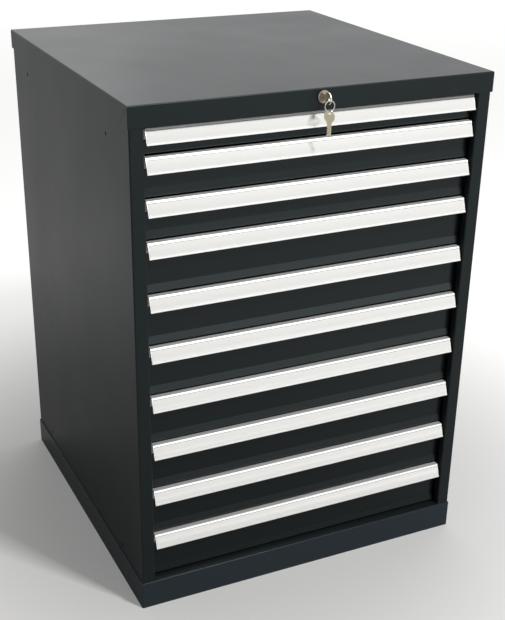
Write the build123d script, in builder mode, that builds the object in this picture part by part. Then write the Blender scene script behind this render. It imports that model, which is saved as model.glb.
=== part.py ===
"""Drawer tool cabinet in folded sheet steel, ten drawers behind two posts.

Millimetres, +Z up. The origin is the bottom centre of the whole cabinet's box,
keys included, the drawers open towards -Y and +X is on the right of someone
facing them.
"""

import os
from math import asin, cos, hypot, radians, sin

from build123d import *

os.makedirs("parts", exist_ok=True)

# Casing
width = 717.0
depth = 725.0
plinth_height = 58.0
plinth_sheet = 2.0
plinth_flange = 14.0
plinth_corner_radius = 3.0
plinth_edge_radius = 1.5
sheet = 1.5
bend_radius = 2.2
casing_inset = 2.5
fascia_height = 38.0
fascia_return = 14.0
mitre_slit = 0.5
cover_edge_radius = 2.5
post_width = 26.5
post_return = 14.0
rear_return = 22.0
side_hole_radius = 3.25
side_hole_setback = 119.0
side_hole_spacing_y = 500.0
side_hole_foot = 18.0
side_hole_spacing_z = 850.0

# Drawers, top to bottom
top_drawer_height = 50.0
low_drawer_height = 75.0
tall_drawer_height = 100.0
drawer_heights = [top_drawer_height] + [low_drawer_height] * 2 + [tall_drawer_height] * 7
sill_clearance = 4.0
floor_clearance = 0.3
drawer_side_clearance = 4.5

# Front panel of a drawer, measured back from the cabinet's front plane
panel_sheet = 1.2
panel_setback = 20.0
panel_top_gap = 3.0
panel_bottom_gap = 1.0
panel_return = 15.0
panel_bottom_return = 13.0
strip_height = 14.5
strip_lean = 3.2

# Extruded handle along the top of a front panel
ledge_fall = 1.1
nose_setback = 10.4
lip_setback = 0.5
handle_drop = 30.8
face_crown = 1.4
handle_wall = 1.8
label_groove = 0.6
label_lip_wall = 0.6
label_lip_height = 3.5
label_lip_overhang = 1.5
handle_leg_drop = 24.0
grip_bead = 0.9
grip_bead_height = 3.0

# Tray of a drawer
tray_sheet = 1.2
tray_floor_gap = 5.0
tray_top_gap = 12.0
rim_width = 5.0
catch_width = 40.0
catch_reach = 20.0
catch_slot_width = 18.0
catch_slot_depth = 8.0
catch_sheet = 1.5
weld_gap = 0.1

# Telescopic runners and the uprights that carry them
rail_sheet = 1.5
running_gap = 0.4
drawer_member_depth = 9.1
member_end_gap = 0.8
cabinet_rail_height = 32.0
rail_lift = 1.0
rail_setback = 24.0
rail_rear_gap = 3.6
upright_depth = 34.0
upright_width = 40.0
front_upright_setback = 40.0
rear_upright_inset = 32.0
upright_slot_pitch = 50.0
upright_slot_width = 12.0
upright_slot_height = 4.0

# Lock, keys and central locking
lock_drop = 15.2
rosette_radius = 11.5
rosette_proud = 4.0
rosette_chamfer = 1.2
barrel_radius = 9.0
barrel_length = 26.0
plug_radius = 7.0
plug_proud = 0.4
plug_clearance = 0.05
plug_tail = 3.0
keyway_width = 2.8
keyway_height = 8.6
keyway_depth = 24.0
nut_radius = 13.0
nut_thickness = 3.0
key_thickness = 2.2
bow_radius = 10.5
bow_hole_radius = 3.6
bow_hole_offset = 6.5
key_neck = 3.0
key_neck_height = 9.6
blade_length = 22.0
blade_height = 8.0
blade_cut_depth = 2.2
blade_cut_pitch = 4.0
blade_cuts = 4
ring_radius = 9.3
ring_wire_radius = 0.9
ring_wire_sides = 8
ring_hang_gap = 0.45
spare_key_turn = 60.0
rod_radius = 4.0
crank_radius = 10.0
crank_sheet = 4.0
crank_pin_radius = 3.0
crank_slot_clearance = 0.5
bar_width = 24.0
bar_thickness = 4.0
bar_head_width = 40.0
bar_head_lip = 2.5
bar_to_catch = 3.0
finger_width = 12.0
finger_thickness = 4.0
finger_rest_gap = 2.5
finger_clearance = 1.0
column_width = 64.0
column_depth = 55.9
column_gap = 2.0
guide_width = 44.0
guide_height = 18.0
guide_sheet = 2.0
guide_clearance = 0.4
bracket_sheet = 2.0
bracket_height = 24.0
bracket_setback = 8.0

# Worked out from the sizes above
spare_turn = radians(spare_key_turn)
bow_hole_reach = rosette_proud + plug_proud + key_neck + bow_radius + bow_hole_offset
key_reach = bow_hole_reach + bow_radius * sin(spare_turn) + key_thickness / 2 * cos(spare_turn)
front = -(depth - key_reach) / 2
middle = front + depth / 2
back = front + depth
stack_bottom = plinth_height + sill_clearance
fascia_bottom = stack_bottom + sum(drawer_heights)
height = fascia_bottom + fascia_height
cover_underside = height - sheet
half_casing = width / 2 - casing_inset
half_inside = half_casing - sheet
half_opening = half_casing - post_width
bend_inside = bend_radius - sheet / 2
return_end = front + sheet + sheet / 2 + post_return
half_drawer = half_opening - drawer_side_clearance
post_face = front + sheet
casing_back = back - sheet
lock_z = height - lock_drop

panel_face = front + panel_setback
tray_front = panel_face + panel_sheet
column_back = casing_back - 2 * sheet
column_front = column_back - column_depth
bar_back = column_front - column_gap
bar_front = bar_back - bar_thickness
tray_back = bar_front - bar_to_catch - catch_reach
tray_middle = (tray_front + tray_back) / 2
tray_depth = tray_back - tray_front
runner_width = drawer_member_depth + 2 * (running_gap + rail_sheet)
rail_outer = half_inside - upright_depth
tray_half = rail_outer - runner_width
middle_rail_height = cabinet_rail_height - 2 * (rail_sheet + running_gap)
drawer_rail_height = middle_rail_height - 2 * (rail_sheet + running_gap)
rail_front = front + rail_setback
rail_back = tray_back - rail_rear_gap
rail_length = rail_back - rail_front
front_upright_y = front + front_upright_setback + upright_width / 2
rear_upright_y = rail_back - rear_upright_inset - upright_width / 2

catch_middle = tray_back + catch_reach / 2
locking_lift = 2 * crank_radius * sin(radians(45))


def save(part, label):
    """Names a finished piece and writes its STEP file."""
    part.label = label
    export_step(part, f"parts/{label}.step")


def drawer_levels():
    """Gives each drawer's number, top and bottom height, from the top drawer down."""
    top = fascia_bottom
    for number, drawer_height in enumerate(drawer_heights, start=1):
        yield number, top, top - drawer_height
        top -= drawer_height


def catch_height(top):
    """Gives the underside of a tray's rear catch, below its drawer's top line."""
    return top - tray_top_gap - catch_sheet


def rail_middle(bottom):
    """Gives the mid height of a drawer's runners above its bottom line."""
    return bottom + tray_floor_gap + rail_lift + cabinet_rail_height / 2


def channel_sketch(web_x, flange_x, middle_z, channel_height):
    """Draws a channel's section on X and Z, its web at web_x and its flanges out to flange_x."""
    with Locations(((web_x + flange_x) / 2, middle_z)):
        Rectangle(abs(flange_x - web_x), channel_height)
    inward = rail_sheet if flange_x > web_x else -rail_sheet
    with Locations(((web_x + inward + flange_x) / 2, middle_z)):
        Rectangle(abs(flange_x - web_x) - rail_sheet, channel_height - 2 * rail_sheet, mode=Mode.SUBTRACT)


def key_section(plane):
    """Draws a key on its side: the bow's hole at the plane's origin, the blade along its X."""
    bow_x = bow_hole_offset
    neck_x = bow_x + bow_radius
    shoulder_x = neck_x + key_neck
    tip_x = shoulder_x + blade_length
    with BuildSketch(plane) as section:
        with Locations((bow_x, 0)):
            Circle(bow_radius)
        with Locations(((bow_x + shoulder_x) / 2, 0)):
            Rectangle(shoulder_x - bow_x, key_neck_height)
        with BuildLine():
            Polyline(
                (neck_x, -blade_height / 2),
                (tip_x - blade_height / 4, -blade_height / 2),
                (tip_x, 0),
                (tip_x - blade_height / 4, blade_height / 2),
                (neck_x, blade_height / 2),
                close=True,
            )
        make_face()
        for cut in range(1, blade_cuts + 1):
            cut_x = shoulder_x + cut * blade_cut_pitch
            with BuildLine():
                Polyline(
                    (cut_x - blade_cut_pitch / 2, -blade_height / 2),
                    (cut_x + blade_cut_pitch / 2, -blade_height / 2),
                    (cut_x, -blade_height / 2 + blade_cut_depth),
                    close=True,
                )
            make_face(mode=Mode.SUBTRACT)
        Circle(bow_hole_radius, mode=Mode.SUBTRACT)
    return section.sketch


# Plinth: a folded ring with a flange above and below
with BuildPart() as plinth:
    with BuildSketch(Plane((0, middle, 0))):
        Rectangle(width, depth)
    extrude(amount=plinth_height)
    fillet(plinth.edges().filter_by(Axis.Z), plinth_corner_radius)
    fillet(plinth.faces().sort_by(Axis.Z)[-1].edges(), plinth_edge_radius)
    with BuildSketch(Plane((0, middle, plinth_sheet))):
        Rectangle(width - 2 * plinth_sheet, depth - 2 * plinth_sheet)
    extrude(amount=plinth_height - 2 * plinth_sheet, mode=Mode.SUBTRACT)
    with BuildSketch(Plane((0, middle, 0))):
        Rectangle(width - 2 * plinth_flange, depth - 2 * plinth_flange)
    extrude(amount=plinth_height, mode=Mode.SUBTRACT)
save(plinth.part, "plinth")

# Floor: a sheet between the sides, whose front edge is the sill under the last drawer
with BuildPart() as base_floor:
    with BuildSketch(Plane.XY.offset(plinth_height)):
        floor_front = return_end + floor_clearance
        floor_back = casing_back - 2 * sheet
        with Locations((0, (floor_front + floor_back) / 2)):
            Rectangle(2 * half_inside, floor_back - floor_front)
        with Locations((0, (post_face + floor_front) / 2)):
            Rectangle(2 * (half_opening - floor_clearance), floor_front - post_face)
    extrude(amount=sheet)
save(base_floor.part, "base_floor")

# Side: one sheet folded into a wall, a front post with a return, and a rear return
wall_x = half_casing - sheet / 2
post_y = post_face + sheet / 2
inner_post_x = half_opening + sheet / 2
rear_y = casing_back - sheet / 2
for hand, name in ((-1, "left_side"), (1, "right_side")):
    with BuildPart() as side:
        with BuildSketch(Plane.XY.offset(plinth_height)):
            with BuildLine():
                FilletPolyline(
                    (hand * inner_post_x, post_y + post_return),
                    (hand * inner_post_x, post_y),
                    (hand * wall_x, post_y),
                    (hand * wall_x, rear_y),
                    (hand * (wall_x - rear_return), rear_y),
                    radius=bend_radius,
                )
            trace(line_width=sheet)
        extrude(amount=cover_underside - plinth_height)
        hole_y = front + side_hole_setback + side_hole_spacing_y / 2
        hole_z = plinth_height + side_hole_foot + side_hole_spacing_z / 2
        with BuildSketch(Plane((hand * wall_x, hole_y, hole_z), x_dir=(0, 1, 0), z_dir=(1, 0, 0))):
            with GridLocations(side_hole_spacing_y, side_hole_spacing_z, 2, 2):
                Circle(side_hole_radius)
        extrude(amount=sheet, both=True, mode=Mode.SUBTRACT)
    save(side.part, name)

# Back: a sheet seated inside the rear returns of both sides
with BuildPart() as back_panel:
    with BuildSketch(Plane.XZ.offset(sheet - casing_back)):
        with Locations((0, (plinth_height + cover_underside) / 2)):
            Rectangle(2 * (half_inside - bend_inside - floor_clearance), cover_underside - plinth_height)
    extrude(amount=sheet)
save(back_panel.part, "back_panel")

# Cover: a pan over the casing, its front and side flanges parted by a mitred slit at each corner
with BuildPart() as top_cover:
    with BuildSketch(Plane((0, middle, fascia_bottom))):
        Rectangle(width, depth)
    extrude(amount=fascia_height)
    fillet(top_cover.faces().sort_by(Axis.Z)[-1].edges(), cover_edge_radius)
    with BuildSketch(Plane((0, middle, fascia_bottom))):
        Rectangle(width - 2 * sheet, depth - 2 * sheet)
    extrude(amount=fascia_height - sheet, mode=Mode.SUBTRACT)
    with BuildSketch(Plane.XY.offset(fascia_bottom)):
        with Locations((0, post_face + fascia_return / 2)):
            Rectangle(2 * half_opening, fascia_return)
    extrude(amount=sheet)
    with BuildSketch(Plane.YZ):
        with BuildLine():
            Polyline(
                (front + cover_edge_radius + mitre_slit, height - cover_edge_radius),
                (front + fascia_height, fascia_bottom),
                (front + fascia_height - 1.5 * mitre_slit, fascia_bottom),
                (front + cover_edge_radius, height - cover_edge_radius - mitre_slit),
                close=True,
            )
        make_face()
    extrude(amount=width, both=True, mode=Mode.SUBTRACT)
    with BuildSketch(Plane.XZ.offset(-front)):
        with Locations((0, lock_z)):
            Circle(barrel_radius)
    extrude(amount=-sheet, mode=Mode.SUBTRACT)
save(top_cover.part, "top_cover")

# Uprights: four slotted channels behind the posts and near the back
with BuildPart() as runner_uprights:
    upright_height = fascia_bottom - plinth_height - sheet
    upright_middle_z = plinth_height + sheet + upright_height / 2
    upright_bottom = plinth_height + sheet
    for upright_y in (front_upright_y, rear_upright_y):
        with BuildSketch(Plane.XY.offset(upright_bottom)):
            with Locations((rail_outer + upright_depth / 2, upright_y)):
                Rectangle(upright_depth, upright_width)
            with Locations((rail_outer + sheet + upright_depth / 2, upright_y)):
                Rectangle(upright_depth, upright_width - 2 * sheet, mode=Mode.SUBTRACT)
        extrude(amount=upright_height)
    slot_count = int(upright_height / upright_slot_pitch) - 1
    for upright_y in (front_upright_y, rear_upright_y):
        slot_plane = Plane((rail_outer, upright_y, upright_middle_z), x_dir=(0, 1, 0), z_dir=(1, 0, 0))
        with BuildSketch(slot_plane):
            with GridLocations(upright_width, upright_slot_pitch, 1, slot_count):
                Rectangle(upright_slot_width, upright_slot_height)
        extrude(amount=sheet, mode=Mode.SUBTRACT)
    mirror(about=Plane.YZ)
save(runner_uprights.part, "runner_uprights")

# Cabinet members of the runners: a channel on the uprights each side of every drawer
cabinet_web = rail_outer
cabinet_lip = tray_half + rail_sheet + member_end_gap
with BuildPart() as cabinet_rails:
    with BuildSketch(Plane.XZ.offset(-rail_front)):
        for number, top, bottom in drawer_levels():
            channel_sketch(cabinet_web, cabinet_lip, rail_middle(bottom), cabinet_rail_height)
    extrude(amount=-rail_length)
    mirror(about=Plane.YZ)
save(cabinet_rails.part, "cabinet_rails")

middle_web = cabinet_web - rail_sheet - running_gap


def panel_section(plane, drawer_height):
    """Draws a front panel's folded section on a plane from front_plane."""
    foot = panel_bottom_gap + panel_sheet / 2 - drawer_height
    middle = panel_setback + panel_sheet / 2
    with BuildSketch(plane) as section:
        with BuildLine():
            FilletPolyline(
                (middle, -panel_top_gap),
                (middle, foot + strip_height),
                (middle - strip_lean, foot),
                (middle + panel_bottom_return, foot),
                radius=panel_sheet,
            )
        trace(line_width=panel_sheet)
    return section.sketch


def panel_end_section(plane, drawer_height):
    """Draws the fold at a front panel's end on a plane from front_plane."""
    foot = panel_bottom_gap + panel_sheet / 2 - drawer_height
    with BuildSketch(plane) as section:
        with BuildLine():
            Polyline(
                (panel_setback + panel_sheet / 2, -panel_top_gap),
                (panel_setback + panel_sheet / 2, foot + strip_height),
                (panel_setback + panel_sheet - strip_lean, foot),
                (panel_setback + panel_return, foot),
                (panel_setback + panel_return, -panel_top_gap),
                close=True,
            )
        make_face()
    return section.sketch


def handle_section(plane):
    """Draws a handle: ledge, crowned face with a label groove, grip bead and leg.

    The face is an arc from nose to lip. Its points are given by the run along the
    arc from the nose, and by the depth sunk under it.
    """
    nose = (nose_setback, -panel_top_gap - ledge_fall)
    lip = (lip_setback, -handle_drop)
    chord = hypot(lip[0] - nose[0], lip[1] - nose[1])
    down = ((lip[0] - nose[0]) / chord, (lip[1] - nose[1]) / chord)
    out = (down[1], -down[0])
    radius = chord**2 / (8 * face_crown) + face_crown / 2
    half_turn = asin(chord / 2 / radius)
    face_length = 2 * half_turn * radius
    centre = [(nose[i] + lip[i]) / 2 - (radius - face_crown) * out[i] for i in (0, 1)]

    def on_face(run, sunk):
        turn = run / radius - half_turn
        reach = radius - sunk
        return tuple(centre[i] + reach * (out[i] * cos(turn) + down[i] * sin(turn)) for i in (0, 1))

    def face_arc(start, end, sunk):
        ThreePointArc(on_face(start, sunk), on_face((start + end) / 2, sunk), on_face(end, sunk))

    groove_floor = label_lip_wall + label_groove
    groove_top = label_lip_height - label_lip_overhang
    groove_foot = face_length - groove_top
    foot_lip = face_length - label_lip_height
    plate_back = groove_floor + handle_wall
    bead_top = face_length - grip_bead_height
    plate_top = handle_wall + grip_bead
    leg_front = panel_setback - handle_wall
    with BuildSketch(plane) as section:
        with BuildLine():
            Line((panel_setback, -panel_top_gap), nose)
            face_arc(0, label_lip_height, 0)
            Polyline(
                on_face(label_lip_height, 0),
                on_face(label_lip_height, label_lip_wall),
                on_face(groove_top, label_lip_wall),
                on_face(groove_top, groove_floor),
            )
            face_arc(groove_top, groove_foot, groove_floor)
            Polyline(
                on_face(groove_foot, groove_floor),
                on_face(groove_foot, label_lip_wall),
                on_face(foot_lip, label_lip_wall),
                on_face(foot_lip, 0),
            )
            face_arc(foot_lip, face_length, 0)
            Polyline(
                lip,
                on_face(face_length, plate_back + grip_bead),
                on_face(bead_top, plate_back + grip_bead),
                on_face(bead_top - grip_bead, plate_back),
            )
            face_arc(bead_top - grip_bead, plate_top, plate_back)
            Polyline(
                on_face(plate_top, plate_back),
                (leg_front, nose[1] - handle_wall),
                (leg_front, -handle_leg_drop),
                (panel_setback, -handle_leg_drop),
                (panel_setback, -panel_top_gap),
            )
        make_face()
    return section.sketch


def front_plane(top, x=0.0):
    """Gives the plane across a drawer front: X runs back from the cabinet's front, Y up from top."""
    return Plane((x, front, top), x_dir=(0, 1, 0), z_dir=(1, 0, 0))


for number, top, bottom in drawer_levels():
    prefix = f"drawer_{number:02d}"
    rail_z = rail_middle(bottom)

    # Middle members: a channel each side that runs inside the cabinet's
    with BuildPart() as middle_rails:
        with BuildSketch(Plane.XZ.offset(-rail_front)):
            channel_sketch(middle_web, cabinet_lip, rail_z, middle_rail_height)
        extrude(amount=-rail_length)
        mirror(about=Plane.YZ)
    save(middle_rails.part, f"{prefix}_middle_rails")

    # Tray: a folded pan with an inturned rim, a slotted catch plate spot-welded on the back, and a
    # runner member each side
    tray_bottom = bottom + tray_floor_gap
    tray_top = top - tray_top_gap
    with BuildPart() as tray:
        with BuildSketch(Plane.XY.offset(tray_bottom)):
            with Locations((0, tray_middle)):
                Rectangle(2 * tray_half, tray_depth)
        extrude(amount=tray_top - tray_bottom)
        with BuildSketch(Plane.XY.offset(tray_bottom + tray_sheet)):
            with Locations((0, tray_middle)):
                Rectangle(2 * (tray_half - tray_sheet), tray_depth - 2 * tray_sheet)
        extrude(amount=tray_top - tray_bottom, mode=Mode.SUBTRACT)
        with BuildSketch(Plane.XY.offset(tray_top - tray_sheet)):
            with Locations((0, tray_middle)):
                Rectangle(2 * tray_half, tray_depth)
                Rectangle(2 * (tray_half - rim_width), tray_depth - 2 * rim_width, mode=Mode.SUBTRACT)
        extrude(amount=tray_sheet)
        with BuildSketch(Plane.XY.offset(catch_height(top))):
            with Locations((0, catch_middle + weld_gap / 2)):
                Rectangle(catch_width, catch_reach - weld_gap)
            with Locations((0, catch_middle)):
                Rectangle(catch_slot_width, catch_slot_depth, mode=Mode.SUBTRACT)
        extrude(amount=catch_sheet)
        with BuildSketch(Plane.XZ.offset(-rail_front)):
            channel_sketch(tray_half, tray_half + drawer_member_depth, rail_z, drawer_rail_height)
            channel_sketch(-tray_half, -tray_half - drawer_member_depth, rail_z, drawer_rail_height)
        extrude(amount=-rail_length)
    save(tray.part, f"{prefix}_tray")

    # Front panel: a sheet whose foot leans out in a strip, folded back at the foot and both ends
    with BuildPart() as panel:
        extrude(panel_section(front_plane(top), top - bottom), amount=half_drawer, both=True)
        for end in (-half_drawer, half_drawer - panel_sheet):
            extrude(panel_end_section(front_plane(top, end), top - bottom), amount=panel_sheet)
    save(panel.part, f"{prefix}_front")

    # Handle: an aluminium extrusion as long as the panel, its leg seated on the panel's face
    with BuildPart() as handle:
        extrude(handle_section(front_plane(top)), amount=half_drawer, both=True)
    save(handle.part, f"{prefix}_handle")

# Lock: a barrel in the cover's front flange with a chamfered rosette, and its nut behind
with BuildPart() as lock_housing:
    with BuildSketch(Plane.XZ.offset(-front)):
        with Locations((0, lock_z)):
            Circle(rosette_radius)
    extrude(amount=rosette_proud)
    chamfer(lock_housing.faces().sort_by(Axis.Y)[0].edges(), rosette_chamfer)
    with BuildSketch(Plane.XZ.offset(-front)):
        with Locations((0, lock_z)):
            Circle(barrel_radius)
    extrude(amount=-barrel_length)
    with BuildSketch(Plane.XZ.offset(rosette_proud - front)):
        with Locations((0, lock_z)):
            Circle(plug_radius + plug_clearance)
    extrude(amount=-barrel_length - rosette_proud, mode=Mode.SUBTRACT)
save(lock_housing.part, "lock_housing")

with BuildPart() as lock_nut:
    with BuildSketch(Plane.XZ.offset(-post_face)):
        with Locations((0, lock_z)):
            RegularPolygon(nut_radius, 6)
            Circle(barrel_radius, mode=Mode.SUBTRACT)
    extrude(amount=-nut_thickness)
save(lock_nut.part, "lock_nut")

# Plug: turns in the barrel and holds the keyway, with a tail that drives the rod
plug_face = front - rosette_proud - plug_proud
plug_back = front + barrel_length + plug_tail
with BuildPart() as lock_plug:
    with BuildSketch(Plane.XZ.offset(-plug_face)):
        with Locations((0, lock_z)):
            Circle(plug_radius)
    extrude(amount=plug_face - plug_back)
    with BuildSketch(Plane.XZ.offset(-plug_face)):
        with Locations((0, lock_z)):
            Rectangle(keyway_width, keyway_height)
    extrude(amount=-keyway_depth, mode=Mode.SUBTRACT)
save(lock_plug.part, "lock_plug")

# Key in the lock: its shoulder rests on the plug's face
bow_hole_y = front - bow_hole_reach
with BuildPart() as key:
    key_plane = Plane((0, bow_hole_y, lock_z), x_dir=(0, 1, 0), z_dir=(1, 0, 0))
    extrude(key_section(key_plane), amount=key_thickness / 2, both=True)
save(key.part, "key")

# Ring through the key's bow, its wire drawn with flats, and the spare key that hangs from it,
# turned part way to the left
ring_rest = bow_hole_radius - ring_wire_radius - ring_hang_gap
ring_z = lock_z - ring_rest - ring_radius
with BuildPart() as key_ring:
    with BuildSketch(Plane((0, bow_hole_y, ring_z), x_dir=(1, 0, 0), z_dir=(0, 0, 1))):
        with Locations((ring_radius, 0)):
            RegularPolygon(ring_wire_radius, ring_wire_sides)
    revolve(axis=Axis((0, bow_hole_y, ring_z), (0, 1, 0)))
save(key_ring.part, "key_ring")

spare_origin = (0, bow_hole_y, ring_z - ring_radius - ring_rest)
with BuildPart() as spare_key:
    spare_plane = Plane(spare_origin, x_dir=(0, 0, -1), z_dir=(-sin(spare_turn), -cos(spare_turn), 0))
    extrude(key_section(spare_plane), amount=key_thickness / 2, both=True)
save(spare_key.part, "spare_key")

# Rod: runs back from the plug over the top drawer and ends in a crank with a pin
crank_offset = crank_radius * cos(radians(45))
crank_back = bar_front - running_gap
crank_front = crank_back - crank_sheet
pin_back = bar_back + running_gap
with BuildPart() as lock_rod:
    with BuildSketch(Plane.XZ.offset(-plug_back)):
        with Locations((0, lock_z)):
            Circle(rod_radius)
    extrude(amount=plug_back - crank_back)
    with BuildSketch(Plane.XZ.offset(-crank_front)):
        with BuildLine():
            Line((0, lock_z), (-crank_offset, lock_z - crank_offset))
        trace(line_width=2 * rod_radius)
        with Locations((0, lock_z), (-crank_offset, lock_z - crank_offset)):
            Circle(rod_radius)
    extrude(amount=-crank_sheet)
    with BuildSketch(Plane.XZ.offset(-crank_front)):
        with Locations((-crank_offset, lock_z - crank_offset)):
            Circle(crank_pin_radius)
    extrude(amount=crank_front - pin_back)
save(lock_rod.part, "lock_rod")

# Locking bar: a flat bar behind the trays, with a slotted head and a finger spot-welded on it
# under each catch
slot_half_height = crank_pin_radius + crank_slot_clearance
slot_inner = crank_offset - crank_pin_radius - crank_slot_clearance
slot_outer = crank_radius + crank_pin_radius + crank_slot_clearance
head_middle = lock_z - crank_offset
head_top = head_middle + slot_half_height + bar_head_lip
head_bottom = head_middle - slot_half_height - bar_head_lip
catch_levels = [catch_height(top) for number, top, bottom in drawer_levels()]
arm_levels = [level - locking_lift - finger_clearance - finger_thickness for level in catch_levels]
bar_bottom = arm_levels[-1] - finger_thickness
with BuildPart() as locking_bar:
    with BuildSketch(Plane.XZ.offset(-bar_front)):
        with Locations((0, (bar_bottom + head_bottom) / 2)):
            Rectangle(bar_width, head_bottom - bar_bottom)
        with Locations((0, head_middle)):
            Rectangle(bar_head_width, head_top - head_bottom)
        with Locations((-(slot_inner + slot_outer) / 2, head_middle)):
            Rectangle(slot_outer - slot_inner, 2 * slot_half_height, mode=Mode.SUBTRACT)
    extrude(amount=-bar_thickness)
    with BuildSketch(Plane.YZ):
        finger_front = catch_middle - finger_thickness / 2
        finger_back = bar_front - weld_gap
        for catch_level, arm_level in zip(catch_levels, arm_levels):
            finger_top = catch_level - finger_rest_gap
            with Locations(((finger_front + finger_back) / 2, arm_level + finger_thickness / 2)):
                Rectangle(finger_back - finger_front, finger_thickness)
            with Locations((catch_middle, (arm_level + finger_top) / 2)):
                Rectangle(finger_thickness, finger_top - arm_level)
    extrude(amount=finger_width / 2, both=True)
save(locking_bar.part, "locking_bar")

# Column: a channel on the back panel that backs the locking bar
with BuildPart() as lock_column:
    with BuildSketch(Plane.XY.offset(plinth_height + sheet)):
        with Locations((0, column_front + column_depth / 2)):
            Rectangle(column_width, column_depth)
        with Locations((0, column_front + sheet + column_depth / 2)):
            Rectangle(column_width - 2 * sheet, column_depth, mode=Mode.SUBTRACT)
    extrude(amount=cover_underside - plinth_height - sheet)
save(lock_column.part, "lock_column")

# Guides: straps on the column that the bar slides through
guide_levels = [catch_levels[index] - drawer_heights[index] / 2 for index in (1, len(catch_levels) // 2)]
guide_levels.append(catch_levels[-1] + drawer_heights[-1] / 2)
with BuildPart() as bar_guides:
    for level in guide_levels:
        strap_front = bar_front - guide_clearance - guide_sheet
        with BuildSketch(Plane.XY.offset(level - guide_height / 2)):
            with Locations((0, (strap_front + column_front) / 2)):
                Rectangle(guide_width, column_front - strap_front)
            with Locations((0, (strap_front + guide_sheet + column_front) / 2)):
                Rectangle(
                    bar_width + 2 * guide_clearance,
                    column_front - strap_front - guide_sheet,
                    mode=Mode.SUBTRACT,
                )
        extrude(amount=guide_height)
save(bar_guides.part, "bar_guides")

# Bracket: carries the rod's back end in a bore, on two arms from the column
bracket_back = crank_front - bracket_setback
arm_inside = bar_head_width / 2 + bracket_sheet
with BuildPart() as rod_bracket:
    with BuildSketch(Plane.XY.offset(lock_z - bracket_height / 2)):
        with BuildLine():
            Polyline(
                (-arm_inside - bracket_sheet / 2, column_front),
                (-arm_inside - bracket_sheet / 2, bracket_back - bracket_sheet / 2),
                (arm_inside + bracket_sheet / 2, bracket_back - bracket_sheet / 2),
                (arm_inside + bracket_sheet / 2, column_front),
            )
        trace(line_width=bracket_sheet)
    extrude(amount=bracket_height)
    with BuildSketch(Plane.XZ.offset(-bracket_back)):
        with Locations((0, lock_z)):
            Circle(rod_radius + plug_clearance)
    extrude(amount=bracket_sheet, mode=Mode.SUBTRACT)
save(rod_bracket.part, "rod_bracket")

print(f"height {height:.1f}, tray inside {2 * (tray_half - tray_sheet):.1f} wide")
print(f"locking lift {locking_lift:.2f}, lock height {lock_z:.1f}")
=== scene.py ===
"""Drawer tool cabinet, in metres: finishes, card strips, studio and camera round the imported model."""

import bpy
import numpy as np
from mathutils import Matrix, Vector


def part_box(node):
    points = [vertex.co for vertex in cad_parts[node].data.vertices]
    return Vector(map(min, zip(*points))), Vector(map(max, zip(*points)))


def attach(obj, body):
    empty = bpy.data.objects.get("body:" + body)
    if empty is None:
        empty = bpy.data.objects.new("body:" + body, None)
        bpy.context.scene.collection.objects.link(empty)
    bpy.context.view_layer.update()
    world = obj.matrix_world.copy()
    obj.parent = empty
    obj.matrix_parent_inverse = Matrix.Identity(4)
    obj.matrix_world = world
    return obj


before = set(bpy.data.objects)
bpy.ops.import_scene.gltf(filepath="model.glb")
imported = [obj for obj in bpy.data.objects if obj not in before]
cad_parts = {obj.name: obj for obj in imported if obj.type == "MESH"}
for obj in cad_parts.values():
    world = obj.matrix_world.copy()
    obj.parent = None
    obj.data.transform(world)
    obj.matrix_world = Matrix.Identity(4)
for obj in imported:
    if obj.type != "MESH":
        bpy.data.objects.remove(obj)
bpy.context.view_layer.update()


# Casing
# The cover, sides, back, floor and plinth are mild steel sheet, folded on a press brake and powder
# coated in anthracite grey. The coat flows out almost smooth, with a faint orange peel. On the
# plinth it is smoother, and painted a little paler for the light that falls on its front.

def linear(hex_colour, share=1.0):
    """Turns an sRGB hex colour into linear light, by the sRGB curve's lower line and upper power,
    times a share."""
    srgb = np.array([int(hex_colour[i:i + 2], 16) for i in (1, 3, 5)]) / 255
    light = np.where(srgb <= 0.04045, srgb / 12.92, ((srgb + 0.055) / 1.055) ** 2.4)
    return (*(share * light).tolist(), 1.0)


def add_node(owner, kind, settings=None, inputs=None):
    """Adds one node to a material or a world, with its settings, and its inputs as values or links."""
    tree = owner.node_tree
    node = tree.nodes.new(kind)
    for name, value in (settings or {}).items():
        setattr(node, name, value)
    for name, value in (inputs or {}).items():
        if isinstance(value, bpy.types.NodeSocket):
            tree.links.new(value, node.inputs[name])
        else:
            node.inputs[name].default_value = value
    return node


def new_material(name):
    """Gives an empty node material, and the Object coordinates that its patterns read."""
    material = bpy.data.materials.new(name)
    material.use_nodes = True
    material.node_tree.nodes.clear()
    place = add_node(material, "ShaderNodeTexCoord").outputs["Object"]
    return material, place


def show(material, shader):
    """Sends a shader to the material's output."""
    add_node(material, "ShaderNodeOutputMaterial", inputs={"Surface": shader.outputs[0]})


def finish_nodes(material, names):
    """Gives CAD nodes one material."""
    for name in names:
        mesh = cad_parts[name].data
        mesh.materials.clear()
        mesh.materials.append(material)


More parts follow.
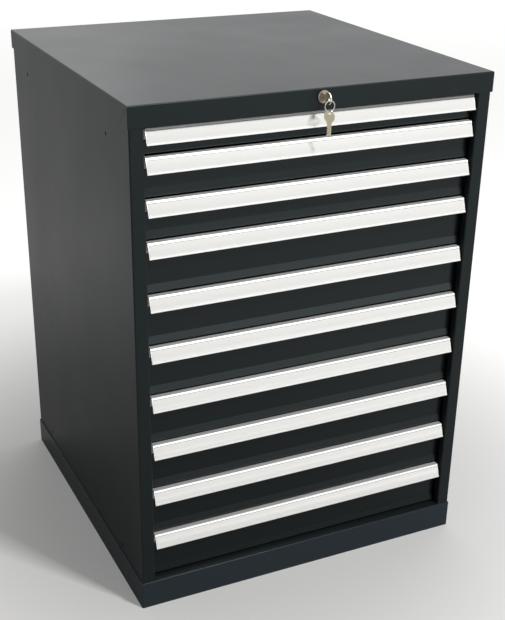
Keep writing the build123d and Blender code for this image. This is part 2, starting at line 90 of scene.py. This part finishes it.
def powder_coat(name, colour, roughness, shine):
    """Powder coated steel: peel as fine noise in the bump, and a cloudy change of gloss and tone.
    Its reflections are slightly blue-green."""
    peel_size = 0.0025          # real peel is about 1.2 mm across, drawn twice as coarse to show
    peel_height = 0.00003
    cloud_size = 0.16
    cloud_darkest = 0.90
    gloss_change = 0.05
    reflection_tint = (0.84, 0.98, 1.0, 1.0)
    material, place = new_material(name)
    cloud = add_node(material, "ShaderNodeTexNoise", None,
                     {"Vector": place, "Scale": 1 / cloud_size, "Detail": 3.0, "Roughness": 0.55})
    tone = add_node(material, "ShaderNodeMix", {"data_type": "RGBA"},
                    {"Factor": cloud.outputs["Fac"],
                     "A": linear(colour), "B": linear(colour, cloud_darkest)})
    gloss = add_node(material, "ShaderNodeMapRange", None,
                     {"Value": cloud.outputs["Fac"],
                      "To Min": roughness - gloss_change, "To Max": roughness + gloss_change})
    peel = add_node(material, "ShaderNodeTexNoise", None,
                    {"Vector": place, "Scale": 1 / peel_size, "Detail": 1.5, "Roughness": 0.5})
    bump = add_node(material, "ShaderNodeBump", None,
                    {"Height": peel.outputs["Fac"], "Distance": peel_height, "Strength": 1.0})
    shader = add_node(material, "ShaderNodeBsdfPrincipled", None,
                      {"Base Color": tone.outputs["Result"], "Roughness": gloss.outputs["Result"],
                       "Normal": bump.outputs["Normal"], "Specular IOR Level": shine,
                       "Specular Tint": reflection_tint})
    show(material, shader)
    return material


casing_coat = powder_coat("anthracite_powder_coat", "#1a1f21", 0.32, 0.17)
finish_nodes(casing_coat, ["top_cover", "left_side", "right_side", "back_panel", "base_floor"])
# Painted light: the plinth's coat is paler than the casing's, standing in for the light on its front.
painted_light_plinth_coat = powder_coat("anthracite_plinth_coat", "#293136", 0.22, 0.16)
finish_nodes(painted_light_plinth_coat, ["plinth"])


# Uprights, column and brackets
# The slotted uprights and the lock's column are folded from the same sheet and powder coated like
# the casing, only more matt. They show behind an open drawer.

inner_coat = powder_coat("anthracite_inner_coat", "#2a2f32", 0.5, 0.3)
finish_nodes(inner_coat, ["runner_uprights", "lock_column", "bar_guides", "rod_bracket"])


# Drawer fronts and trays
# Each of the ten drawers is a folded tray with its front sheet welded on, powder coated. The
# front's foot leans out in a strip that catches the light. The fronts' coat is painted much darker
# than the casing's, as painted shade for the shade under the handles.

drawer_bodies = [f"drawer_{number:02d}" for number in range(1, 11)]

# Painted shade: the fronts' coat is near black, darker than the casing's, for the shade under the
# handles.
painted_shade_front_coat = powder_coat("anthracite_front_coat", "#0b0f11", 0.22, 0.3)
finish_nodes(painted_shade_front_coat, [f"{body}_front" for body in drawer_bodies])
tray_coat = powder_coat("anthracite_tray_coat", "#2c3235", 0.5, 0.3)
finish_nodes(tray_coat, [f"{body}_tray" for body in drawer_bodies])


# Runners
# Roll-formed steel channels that telescope, zinc plated after forming: pale blue-grey metal with a
# fine cloudy spangle.

def zinc_plate(name, colour):
    """Zinc plated steel: metal whose gloss and tone change in small clouds."""
    spangle_size = 0.006
    spangle_darkest = 0.86
    glossiest, dullest = 0.28, 0.50
    material, place = new_material(name)
    spangle = add_node(material, "ShaderNodeTexNoise", None,
                       {"Vector": place, "Scale": 1 / spangle_size, "Detail": 4.0, "Roughness": 0.6})
    gloss = add_node(material, "ShaderNodeMapRange", None,
                     {"Value": spangle.outputs["Fac"], "To Min": glossiest, "To Max": dullest})
    tone = add_node(material, "ShaderNodeMix", {"data_type": "RGBA"},
                    {"Factor": spangle.outputs["Fac"],
                     "A": linear(colour), "B": linear(colour, spangle_darkest)})
    shader = add_node(material, "ShaderNodeBsdfPrincipled", None,
                      {"Base Color": tone.outputs["Result"], "Roughness": gloss.outputs["Result"],
                       "Metallic": 1.0})
    show(material, shader)
    return material


runner_zinc = zinc_plate("zinc_plated_steel", "#c3c7ca")
finish_nodes(runner_zinc, ["cabinet_rails"] + [f"{body}_middle_rails" for body in drawer_bodies])


# Handles
# One aluminium extrusion along the top of every front: ledge, leaning face with a groove for a
# card strip, and a grip bead. Satin anodised, with the die's fine lines along its length.

def anodised_aluminium(name, colour):
    """Satin anodised extrusion: a metal whose layer scatters some of the light, with die lines, as
    noise stretched along X, in its tone, gloss and bump."""
    die_line_pitch = 0.0012     # real die lines are about 0.2 mm apart, drawn coarser to show
    die_line_length = 0.30
    die_line_depth = 0.00001
    die_line_darkest = 0.94
    glossiest, dullest = 0.42, 0.52
    metal_share = 0.65
    material, place = new_material(name)
    stretched = add_node(material, "ShaderNodeMapping", None,
                         {"Vector": place,
                          "Scale": (1 / die_line_length, 1 / die_line_pitch, 1 / die_line_pitch)})
    lines = add_node(material, "ShaderNodeTexNoise", None,
                     {"Vector": stretched.outputs["Vector"], "Scale": 1.0, "Detail": 2.0,
                      "Roughness": 0.5})
    gloss = add_node(material, "ShaderNodeMapRange", None,
                     {"Value": lines.outputs["Fac"], "To Min": glossiest, "To Max": dullest})
    tone = add_node(material, "ShaderNodeMix", {"data_type": "RGBA"},
                    {"Factor": lines.outputs["Fac"],
                     "A": linear(colour), "B": linear(colour, die_line_darkest)})
    bump = add_node(material, "ShaderNodeBump", None,
                    {"Height": lines.outputs["Fac"], "Distance": die_line_depth, "Strength": 1.0})
    shader = add_node(material, "ShaderNodeBsdfPrincipled", None,
                      {"Base Color": tone.outputs["Result"], "Roughness": gloss.outputs["Result"],
                       "Metallic": metal_share, "Normal": bump.outputs["Normal"]})
    show(material, shader)
    return material


handle_metal = anodised_aluminium("satin_anodised_aluminium", "#eeeeec")
finish_nodes(handle_metal, [f"{body}_handle" for body in drawer_bodies])


# Card strips
# A long white card laminated in clear film, slid from one end into the grooves of each handle's
# face. It fills the face between the two lips, and a fine shadow of the upper lip is painted on it.

def laminated_card(name):
    """White card under clear film: soft fibre mottle, a painted shadow line below the upper lip,
    and a glossy coat with faint waves."""
    fibre_size = 0.0015         # card fibres are about 0.05 mm wide, drawn coarser to show
    wave_size, wave_height = 0.045, 0.0004
    # Where the painted shadow under the upper lip ends down the face, and how soft its edge is.
    lip_shadow_end, lip_shadow_blur = 0.0047, 0.0006
    card_roughness, film_roughness = 0.55, 0.12
    material, place = new_material(name)
    mottle = add_node(material, "ShaderNodeTexNoise", None,
                      {"Vector": place, "Scale": 1 / fibre_size, "Detail": 3.0, "Roughness": 0.6})
    fibres = add_node(material, "ShaderNodeMix", {"data_type": "RGBA"},
                      {"Factor": mottle.outputs["Fac"], "A": linear("#ededea"), "B": linear("#e2e2de")})
    run = add_node(material, "ShaderNodeUVMap", {"uv_map": "strip_run"})
    run_parts = add_node(material, "ShaderNodeSeparateXYZ", None, {"Vector": run.outputs["UV"]})
    # Painted shade: the card darkens towards #50504e in a band just under the upper lip, as the lip's
    # shadow.
    painted_lip_shadow = add_node(material, "ShaderNodeMapRange", {"interpolation_type": "SMOOTHSTEP"},
                    {"Value": run_parts.outputs["Y"],
                     "From Min": lip_shadow_end, "From Max": lip_shadow_end - lip_shadow_blur})
    tone = add_node(material, "ShaderNodeMix", {"data_type": "RGBA"},
                    {"Factor": painted_lip_shadow.outputs["Result"], "A": fibres.outputs["Result"],
                     "B": linear("#50504e")})
    wave = add_node(material, "ShaderNodeTexNoise", None,
                    {"Vector": place, "Scale": 1 / wave_size, "Detail": 1.0, "Roughness": 0.4})
    ripple = add_node(material, "ShaderNodeBump", None,
                      {"Height": wave.outputs["Fac"], "Distance": wave_height, "Strength": 1.0})
    shader = add_node(material, "ShaderNodeBsdfPrincipled", None,
                      {"Base Color": tone.outputs["Result"], "Roughness": card_roughness,
                       "Coat Weight": 1.0, "Coat Roughness": film_roughness,
                       "Coat Normal": ripple.outputs["Normal"]})
    show(material, shader)
    return material


card_white = laminated_card("laminated_white_card")

# The handle's face as the CAD draws it, from the drawer's top and the front plane: two places on Y
# and Z, and how far the arc between them stands out. The strip lies in a groove behind its lips.
face_nose = np.array([0.0104, -0.0041])
face_lip = np.array([0.0005, -0.0308])
face_crown = 0.0014
groove_start = 0.0020
groove_front, groove_floor = 0.0006, 0.0012
panel_top_gap = 0.003
strip_play = 0.0001
strip_end_gap = 0.0015
arc_points = 13
station_count = 41

chord = np.linalg.norm(face_lip - face_nose)
down_face = (face_lip - face_nose) / chord
out_of_face = np.array([down_face[1], -down_face[0]])
face_radius = chord ** 2 / (8 * face_crown) + face_crown / 2
half_turn = np.arcsin(chord / 2 / face_radius)
face_length = 2 * half_turn * face_radius
arc_centre = (face_nose + face_lip) / 2 - (face_radius - face_crown) * out_of_face


def on_face(run, sunk):
    """Points under the crowned face: from the arc's centre, turned by the run over the radius less
    half the face's turn, and out by the radius less the depth sunk."""
    turn = run / face_radius - half_turn
    outward = np.cos(turn)[:, None] * out_of_face + np.sin(turn)[:, None] * down_face
    return arc_centre + (face_radius - sunk) * outward


def card_strip(body):
    """A strip along X: a closed outline of two arcs, front and back, carried over evenly spaced
    stations, with quads from each station to the next and between the two arcs at each end. Its
    UV map holds the place along X and the run down the face."""
    low, high = (np.array(corner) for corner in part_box(f"{body}_handle"))
    runs = np.linspace(groove_start + strip_play, face_length - groove_start - strip_play, arc_points)
    front_arc = on_face(runs, groove_front + strip_play)
    back_arc = on_face(runs[::-1], groove_floor - strip_play)
    outline = np.concatenate([front_arc, back_arc])
    stations = np.linspace(low[0] + strip_end_gap, high[0] - strip_end_gap, station_count)
    around = len(outline)
    points = np.empty((station_count, around, 3))
    points[:, :, 0] = stations[:, None]
    points[:, :, 1] = low[1] - face_lip[0] + outline[:, 0]
    points[:, :, 2] = high[2] + panel_top_gap + outline[:, 1]

    loop = np.arange(around)
    rows = around * np.arange(station_count - 1)[:, None]
    near = (rows + loop).ravel()
    beside = (rows + np.roll(loop, -1)).ravel()
    skin = np.stack([near, beside, beside + around, near + around], axis=1)
    edge = np.arange(arc_points - 1)
    left = np.stack([edge, around - 1 - edge, around - 2 - edge, edge + 1], axis=1)
    right = left[:, ::-1] + around * (station_count - 1)
    mesh = bpy.data.meshes.new(f"{body}_card_strip")
    mesh.from_pydata(points.reshape(-1, 3).tolist(), [], np.concatenate([skin, left, right]).tolist())

    place_of_run = np.empty((station_count, around, 2))
    place_of_run[:, :, 0] = stations[:, None]
    place_of_run[:, :, 1] = np.concatenate([runs, runs[::-1]])
    corners = np.empty(len(mesh.loops), int)
    mesh.loops.foreach_get("vertex_index", corners)
    layer = mesh.uv_layers.new(name="strip_run")
    layer.data.foreach_set("uv", place_of_run.reshape(-1, 2)[corners].ravel())
    mesh.materials.append(card_white)
    strip = bpy.data.objects.new(f"{body}_card_strip", mesh)
    bpy.context.scene.collection.objects.link(strip)
    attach(strip, body)


for body in drawer_bodies:
    card_strip(body)


# Lock and keys
# A nickel-plated brass cylinder with a chamfered rosette, two flat keys stamped from nickel
# silver, and a ring of hard-drawn steel wire.

def plated_metal(name, colour, low_roughness, high_roughness, brush_pitch):
    """Bright metal with faint brushing along Z, as noise stretched twentyfold, in the gloss."""
    brush_length = 20 * brush_pitch
    material, place = new_material(name)
    brushed = add_node(material, "ShaderNodeMapping", None,
                       {"Vector": place, "Scale": (1 / brush_pitch, 1 / brush_pitch, 1 / brush_length)})
    scratch = add_node(material, "ShaderNodeTexNoise", None,
                       {"Vector": brushed.outputs["Vector"], "Scale": 1.0, "Detail": 3.0,
                        "Roughness": 0.6})
    gloss = add_node(material, "ShaderNodeMapRange", None,
                     {"Value": scratch.outputs["Fac"], "To Min": low_roughness, "To Max": high_roughness})
    shader = add_node(material, "ShaderNodeBsdfPrincipled", None,
                      {"Base Color": linear(colour), "Roughness": gloss.outputs["Result"],
                       "Metallic": 1.0})
    show(material, shader)
    return material


lock_nickel = plated_metal("nickel_plated_brass", "#968f86", 0.12, 0.28, 0.0004)
finish_nodes(lock_nickel, ["lock_housing", "lock_nut", "lock_plug"])
key_metal = plated_metal("nickel_silver", "#d6cfb6", 0.22, 0.40, 0.0005)
finish_nodes(key_metal, ["key", "spare_key"])
ring_steel = plated_metal("spring_steel_wire", "#c8c8c6", 0.15, 0.3, 0.0004)
finish_nodes(ring_steel, ["key_ring"])


# Locking linkage
# The rod, its crank and the locking bar are cold-drawn and flat steel, zinc plated like the
# runners and hidden in the casing.

linkage_zinc = zinc_plate("zinc_plated_linkage", "#b9bdc0")
finish_nodes(linkage_zinc, ["lock_rod", "locking_bar"])


# Studio
# A pale matt floor that runs into a white backdrop, under soft light. Its glow grows from 0.4 to
# 1.4 metres from the middle, and again far away, so the floor is painted darker by the cabinet,
# where its shadow falls. The cabinet mirrors less than half of that glow, and none of it close by,
# so its reflections of the near floor carry painted shade too.

near_glow, round_glow, far_glow = 0.15, 0.62, 0.26
round_start, round_end = 0.4, 1.4
far_start, far_end = 2.5, 8.0
mirrored_share = 0.44
mirrored_start, mirrored_end = 0.6, 1.6
floor_reach = 14.0

floor_material, floor_place = new_material("pale_floor")
floor_shade = add_node(floor_material, "ShaderNodeBsdfDiffuse", None, {"Color": (0.55, 0.545, 0.53, 1.0)})
floor_away = add_node(floor_material, "ShaderNodeVectorMath", {"operation": "LENGTH"}, {0: floor_place})
floor_rays = add_node(floor_material, "ShaderNodeLightPath")
floor_mirrored = add_node(floor_material, "ShaderNodeMapRange", {"interpolation_type": "SMOOTHSTEP"},
                          {"Value": floor_away.outputs["Value"], "From Min": mirrored_start,
                           "From Max": mirrored_end, "To Max": mirrored_share})
floor_seen = add_node(floor_material, "ShaderNodeMath", {"operation": "MULTIPLY_ADD"},
                      {0: floor_rays.outputs["Is Glossy Ray"], 1: floor_mirrored.outputs["Result"],
                       2: floor_rays.outputs["Is Camera Ray"]})
floor_all = add_node(floor_material, "ShaderNodeMath", {"operation": "ADD"},
                     {0: floor_seen.outputs["Value"], 1: floor_rays.outputs["Is Transmission Ray"]})
floor_round = add_node(floor_material, "ShaderNodeMapRange", {"interpolation_type": "SMOOTHSTEP"},
                       {"Value": floor_away.outputs["Value"], "From Min": round_start,
                        "From Max": round_end, "To Min": near_glow, "To Max": round_glow})
floor_far = add_node(floor_material, "ShaderNodeMapRange", {"interpolation_type": "SMOOTHSTEP"},
                     {"Value": floor_away.outputs["Value"], "From Min": far_start,
                      "From Max": far_end, "To Max": far_glow})
floor_lit = add_node(floor_material, "ShaderNodeMath", {"operation": "ADD"},
                     {0: floor_round.outputs["Result"], 1: floor_far.outputs["Result"]})
floor_strength = add_node(floor_material, "ShaderNodeMath", {"operation": "MULTIPLY"},
                          {0: floor_all.outputs["Value"], 1: floor_lit.outputs["Value"]})
floor_glow = add_node(floor_material, "ShaderNodeEmission", None,
                      {"Strength": floor_strength.outputs["Value"]})
floor_both = add_node(floor_material, "ShaderNodeAddShader", None,
                      {0: floor_shade.outputs["BSDF"], 1: floor_glow.outputs["Emission"]})
show(floor_material, floor_both)

floor_mesh = bpy.data.meshes.new("floor")
floor_corners = np.array([[-1, -1, 0], [1, -1, 0], [1, 1, 0], [-1, 1, 0]]) * floor_reach
floor_mesh.from_pydata(floor_corners.tolist(), [], [(0, 1, 2, 3)])
floor_mesh.materials.append(floor_material)
floor = bpy.data.objects.new("floor", floor_mesh)
bpy.context.scene.collection.objects.link(floor)

# The sky gives the object a quarter of the light that the camera and its reflections see.
sky_light, sky_white = 0.25, 1.0
world = bpy.data.worlds.new("studio")
bpy.context.scene.world = world
world.use_nodes = True
world.node_tree.nodes.clear()
sky_rays = add_node(world, "ShaderNodeLightPath")
sky_seen = add_node(world, "ShaderNodeMath", {"operation": "ADD"},
                    {0: sky_rays.outputs["Is Camera Ray"], 1: sky_rays.outputs["Is Glossy Ray"]})
sky_all = add_node(world, "ShaderNodeMath", {"operation": "ADD"},
                   {0: sky_seen.outputs["Value"], 1: sky_rays.outputs["Is Transmission Ray"]})
sky_strength = add_node(world, "ShaderNodeMapRange", None,
                        {"Value": sky_all.outputs["Value"], "To Min": sky_light, "To Max": sky_white})
sky = add_node(world, "ShaderNodeBackground", None,
               {"Color": (1.0, 1.0, 1.0, 1.0), "Strength": sky_strength.outputs["Result"]})
add_node(world, "ShaderNodeOutputWorld", inputs={"Surface": sky.outputs["Background"]})


def softbox(name, place, aim, width, height, power):
    """Hangs a rectangular soft light at a place, turned to face a point: its own axes are the way
    back from the point, the level side across that, and their cross product."""
    lamp = bpy.data.lights.new(name, "AREA")
    lamp.shape = "RECTANGLE"
    lamp.energy, lamp.size, lamp.size_y = power, width, height
    light = bpy.data.objects.new(name, lamp)
    back = np.array(place, float) - np.array(aim, float)
    back /= np.linalg.norm(back)
    side = np.cross((0.0, 0.0, 1.0), back)
    side /= np.linalg.norm(side)
    matrix = np.eye(4)
    matrix[:3, 0], matrix[:3, 1], matrix[:3, 2] = side, np.cross(back, side), back
    matrix[:3, 3] = place
    light.matrix_world = Matrix(matrix.tolist())
    light.visible_camera = False
    bpy.context.scene.collection.objects.link(light)


softbox("ceiling", (0.9, 1.1, 3.2), (0.0, 0.1, 0.6), 2.4, 2.4, 30.0)
softbox("key_light", (1.88, -3.90, 5.06), (0.0, -0.35, 0.6), 0.8, 0.8, 272.0)
softbox("low_front", (1.9, -4.6, 0.5), (0.0, -0.35, 0.5), 3.0, 0.7, 12.0)
softbox("behind", (0.6, 4.6, 2.9), (-0.2, 0.0, 1.0), 1.6, 1.6, 6.5)


# Camera
# It stands to the left of the cabinet's front and looks down on it. Its place, turn and lens were
# fitted to the cabinet's corners in the photograph, 505 by 620 pixels.

photo_width, photo_height = 505, 620
focal_pixels = 1136.7
centre_x, centre_y = 248.8, 344.0
azimuth, elevation, roll = np.radians([25.59, 25.51, 0.89])
front_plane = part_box("top_cover")[0].y
eye = (-0.9546, front_plane - 1.7108, 1.4421)
forward = np.array([np.sin(azimuth) * np.cos(elevation), np.cos(azimuth) * np.cos(elevation),
                    -np.sin(elevation)])
level = np.array([np.cos(azimuth), -np.sin(azimuth), 0.0])
upward = np.cross(level, forward)
camera_matrix = np.eye(4)
camera_matrix[:3, 0] = np.cos(roll) * level + np.sin(roll) * upward
camera_matrix[:3, 1] = -np.sin(roll) * level + np.cos(roll) * upward
camera_matrix[:3, 2] = -forward
camera_matrix[:3, 3] = eye
lens = bpy.data.cameras.new("camera")
lens.sensor_fit = "HORIZONTAL"
lens.sensor_width = 36.0
lens.lens = focal_pixels / photo_width * lens.sensor_width
lens.shift_x = (photo_width / 2 - centre_x) / photo_width
lens.shift_y = (centre_y - photo_height / 2) / photo_width
camera = bpy.data.objects.new("camera", lens)
camera.matrix_world = Matrix(camera_matrix.tolist())
bpy.context.scene.collection.objects.link(camera)
bpy.context.scene.camera = camera
bpy.context.scene.view_settings.view_transform = "Standard"
